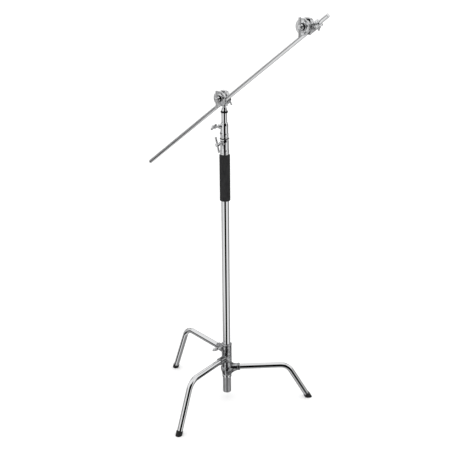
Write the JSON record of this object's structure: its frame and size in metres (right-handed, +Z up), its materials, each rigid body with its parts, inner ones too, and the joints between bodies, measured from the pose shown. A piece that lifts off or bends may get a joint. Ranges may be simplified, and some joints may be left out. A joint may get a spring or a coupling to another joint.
{
  "type": "c stand",
  "caption": "Studio C-stand: turtle base with folding bent legs, telescoping chrome column with foam grip, grip heads and a slanted extension arm.",
  "frame": {"origin": "on the floor, under the centre of the bounding box; the column's axis stands 28.5 mm towards -X and 37.7 mm towards +Y of it", "axes": "+Z up along the column; the arm rises towards +X and -Y; the lowest leg points along +X; -Y is the side the object is looked at from"},
  "size_m": [0.751, 0.681, 1.8381],
  "materials": {
    "polished_steel": "mirror polished stainless tube",
    "cast_chrome": "chrome plated casting, slightly soft highlights",
    "satin_steel": "satin, bare steel",
    "dark_steel": "dark oxide, satin",
    "brass": "turned brass",
    "black_foam": "matt closed-cell foam",
    "black_rubber": "matt moulded rubber",
    "black_nylon": "semi-matt moulded nylon"
  },
  "bodies": {
    "base": {"base_tube": "satin_steel", "base_tube_end_cap": "satin_steel", "retaining_ring": "cast_chrome", "retaining_screw_left": "dark_steel", "retaining_screw_right": "dark_steel", "base_socket_casting": "cast_chrome", "upper_leg_tube": "polished_steel", "upper_foot_cap": "black_rubber", "base_knob_brake_shoe": "brass"},
    "base_knob": {"base_knob_screw": "cast_chrome", "base_knob_bar": "cast_chrome"},
    "middle_leg": {"middle_leg_casting": "cast_chrome", "middle_leg_tube": "polished_steel", "middle_foot_cap": "black_rubber"},
    "lower_leg": {"lower_leg_casting": "cast_chrome", "lower_leg_tube": "polished_steel", "lower_foot_cap": "black_rubber"},
    "column": {"column_tube": "polished_steel", "column_bottom_plug": "black_nylon", "foam_grip": "black_foam", "lower_collar": "cast_chrome", "lower_collar_ring": "black_nylon", "lower_collar_handle_brake_shoe": "brass"},
    "lower_collar_handle": {"lower_collar_handle_screw": "cast_chrome", "lower_collar_handle_bar": "cast_chrome"},
    "riser_2": {"riser_2_tube": "polished_steel", "riser_2_bottom_plug": "black_nylon", "upper_collar": "cast_chrome", "upper_collar_set_screw": "dark_steel", "upper_collar_handle_brake_shoe": "brass"},
    "upper_collar_handle": {"upper_collar_handle_screw": "cast_chrome", "upper_collar_handle_bar": "cast_chrome"},
    "riser_3": {"riser_3_tube": "polished_steel", "riser_3_bottom_plug": "black_nylon", "riser_3_top_ring": "dark_steel", "baby_stud": "polished_steel"},
    "arm": {"arm_tube": "polished_steel", "arm_lower_end_plug": "polished_steel", "arm_upper_end_plug": "polished_steel"},
    "first_head": {"first_head_body": "cast_chrome"},
    "first_head_receiver": {"first_head_receiver_screw": "cast_chrome", "first_head_receiver_bar": "cast_chrome"},
    "first_head_jaws": {"first_head_inner_jaw": "cast_chrome", "first_head_axle_bolt": "polished_steel", "first_head_jaw_spring": "satin_steel"},
    "first_head_outer_jaw": {"first_head_outer_jaw": "cast_chrome", "first_head_thrust_washer": "dark_steel"},
    "first_head_handle": {"first_head_handle_screw": "cast_chrome", "first_head_handle_bar": "cast_chrome"},
    "second_head": {"second_head_body": "cast_chrome"},
    "second_head_receiver": {"second_head_receiver_screw": "cast_chrome", "second_head_receiver_bar": "cast_chrome"},
    "second_head_jaws": {"second_head_inner_jaw": "cast_chrome", "second_head_axle_bolt": "polished_steel", "second_head_jaw_spring": "satin_steel"},
    "second_head_outer_jaw": {"second_head_outer_jaw": "cast_chrome", "second_head_thrust_washer": "dark_steel"},
    "second_head_handle": {"second_head_handle_screw": "cast_chrome", "second_head_handle_bar": "cast_chrome"}
  },
  "joints": [
    {"name": "middle_leg_swing", "type": "hinge", "parent": "base", "child": "middle_leg", "pos_m": [-0.02852, 0.03766, 0.2123], "axis": [0, 0, 1], "range_deg": [-88, 4]},
    {"name": "lower_leg_swing", "type": "hinge", "parent": "base", "child": "lower_leg", "pos_m": [-0.02852, 0.03766, 0.1601], "axis": [0, 0, 1], "range_deg": [-4, 115]},
    {"name": "base_knob_turn", "type": "hinge", "parent": "base", "child": "base_knob", "pos_m": [-0.02852, 0.03766, 0.2668], "axis": [-0.9063, -0.4226, 0], "continuous": true},
    {"name": "column_lift", "type": "slide", "parent": "base", "child": "column", "axis": [0, 0, 1], "range_m": [0, 0.25]},
    {"name": "lower_collar_handle_turn", "type": "hinge", "parent": "column", "child": "lower_collar_handle", "pos_m": [-0.02852, 0.03766, 1.252], "axis": [-0.6157, -0.788, 0], "continuous": true},
    {"name": "riser_2_extend", "type": "slide", "parent": "column", "child": "riser_2", "axis": [0, 0, 1], "range_m": [0, 0.9]},
    {"name": "upper_collar_handle_turn", "type": "hinge", "parent": "riser_2", "child": "upper_collar_handle", "pos_m": [-0.02852, 0.03766, 1.324], "axis": [-0.9397, -0.342, 0], "continuous": true},
    {"name": "riser_3_extend", "type": "slide", "parent": "riser_2", "child": "riser_3", "axis": [0, 0, 1], "range_m": [0, 0.9]},
    {"name": "first_head_pan", "type": "hinge", "parent": "riser_3", "child": "first_head", "pos_m": [-0.02852, 0.03766, 1.4521], "axis": [0, 0, 1], "continuous": true},
    {"name": "first_head_receiver_turn", "type": "hinge", "parent": "first_head", "child": "first_head_receiver", "pos_m": [-0.02852, 0.03766, 1.4321], "axis": [0.6428, 0.766, 0], "continuous": true},
    {"name": "first_head_jaw_tilt", "type": "hinge", "parent": "first_head", "child": "first_head_jaws", "pos_m": [-0.01703, 0.02802, 1.4521], "axis": [-0.6428, -0.766, 0], "range_deg": [-115, 10]},
    {"name": "first_head_jaw_open", "type": "slide", "parent": "first_head_jaws", "child": "first_head_outer_jaw", "axis": [-0.6428, -0.766, 0], "range_m": [0, 0.0045]},
    {"name": "first_head_handle_turn", "type": "hinge", "parent": "first_head_outer_jaw", "child": "first_head_handle", "pos_m": [-0.01703, 0.02802, 1.4521], "axis": [-0.6428, -0.766, 0], "range_deg": [0, 1080]},
    {"name": "arm_slide", "type": "slide", "parent": "first_head_jaws", "child": "arm", "axis": [0.6061, -0.5086, 0.6115], "range_m": [-0.42, 0.48]},
    {"name": "second_head_swivel", "type": "hinge", "parent": "arm", "child": "second_head", "pos_m": [0.30234, -0.28544, 1.7767], "axis": [0.6061, -0.5086, 0.6115], "continuous": true},
    {"name": "second_head_receiver_turn", "type": "hinge", "parent": "second_head", "child": "second_head_receiver", "pos_m": [0.31446, -0.29561, 1.78893], "axis": [0.6428, 0.766, 0], "continuous": true},
    {"name": "second_head_jaw_turn", "type": "hinge", "parent": "second_head", "child": "second_head_jaws", "pos_m": [0.29531, -0.27954, 1.78857], "axis": [-0.6428, -0.766, 0], "continuous": true},
    {"name": "second_head_jaw_open", "type": "slide", "parent": "second_head_jaws", "child": "second_head_outer_jaw", "axis": [-0.6428, -0.766, 0], "range_m": [0, 0.0045]},
    {"name": "second_head_handle_turn", "type": "hinge", "parent": "second_head_outer_jaw", "child": "second_head_handle", "pos_m": [0.29531, -0.27954, 1.78857], "axis": [-0.6428, -0.766, 0], "range_deg": [0, 1080]}
  ],
  "couplings": [
    {"joint": "first_head_handle_turn", "follows": "first_head_jaw_open", "rad_per_m": 4188.8},
    {"joint": "second_head_handle_turn", "follows": "second_head_jaw_open", "rad_per_m": 4188.8}
  ]
}
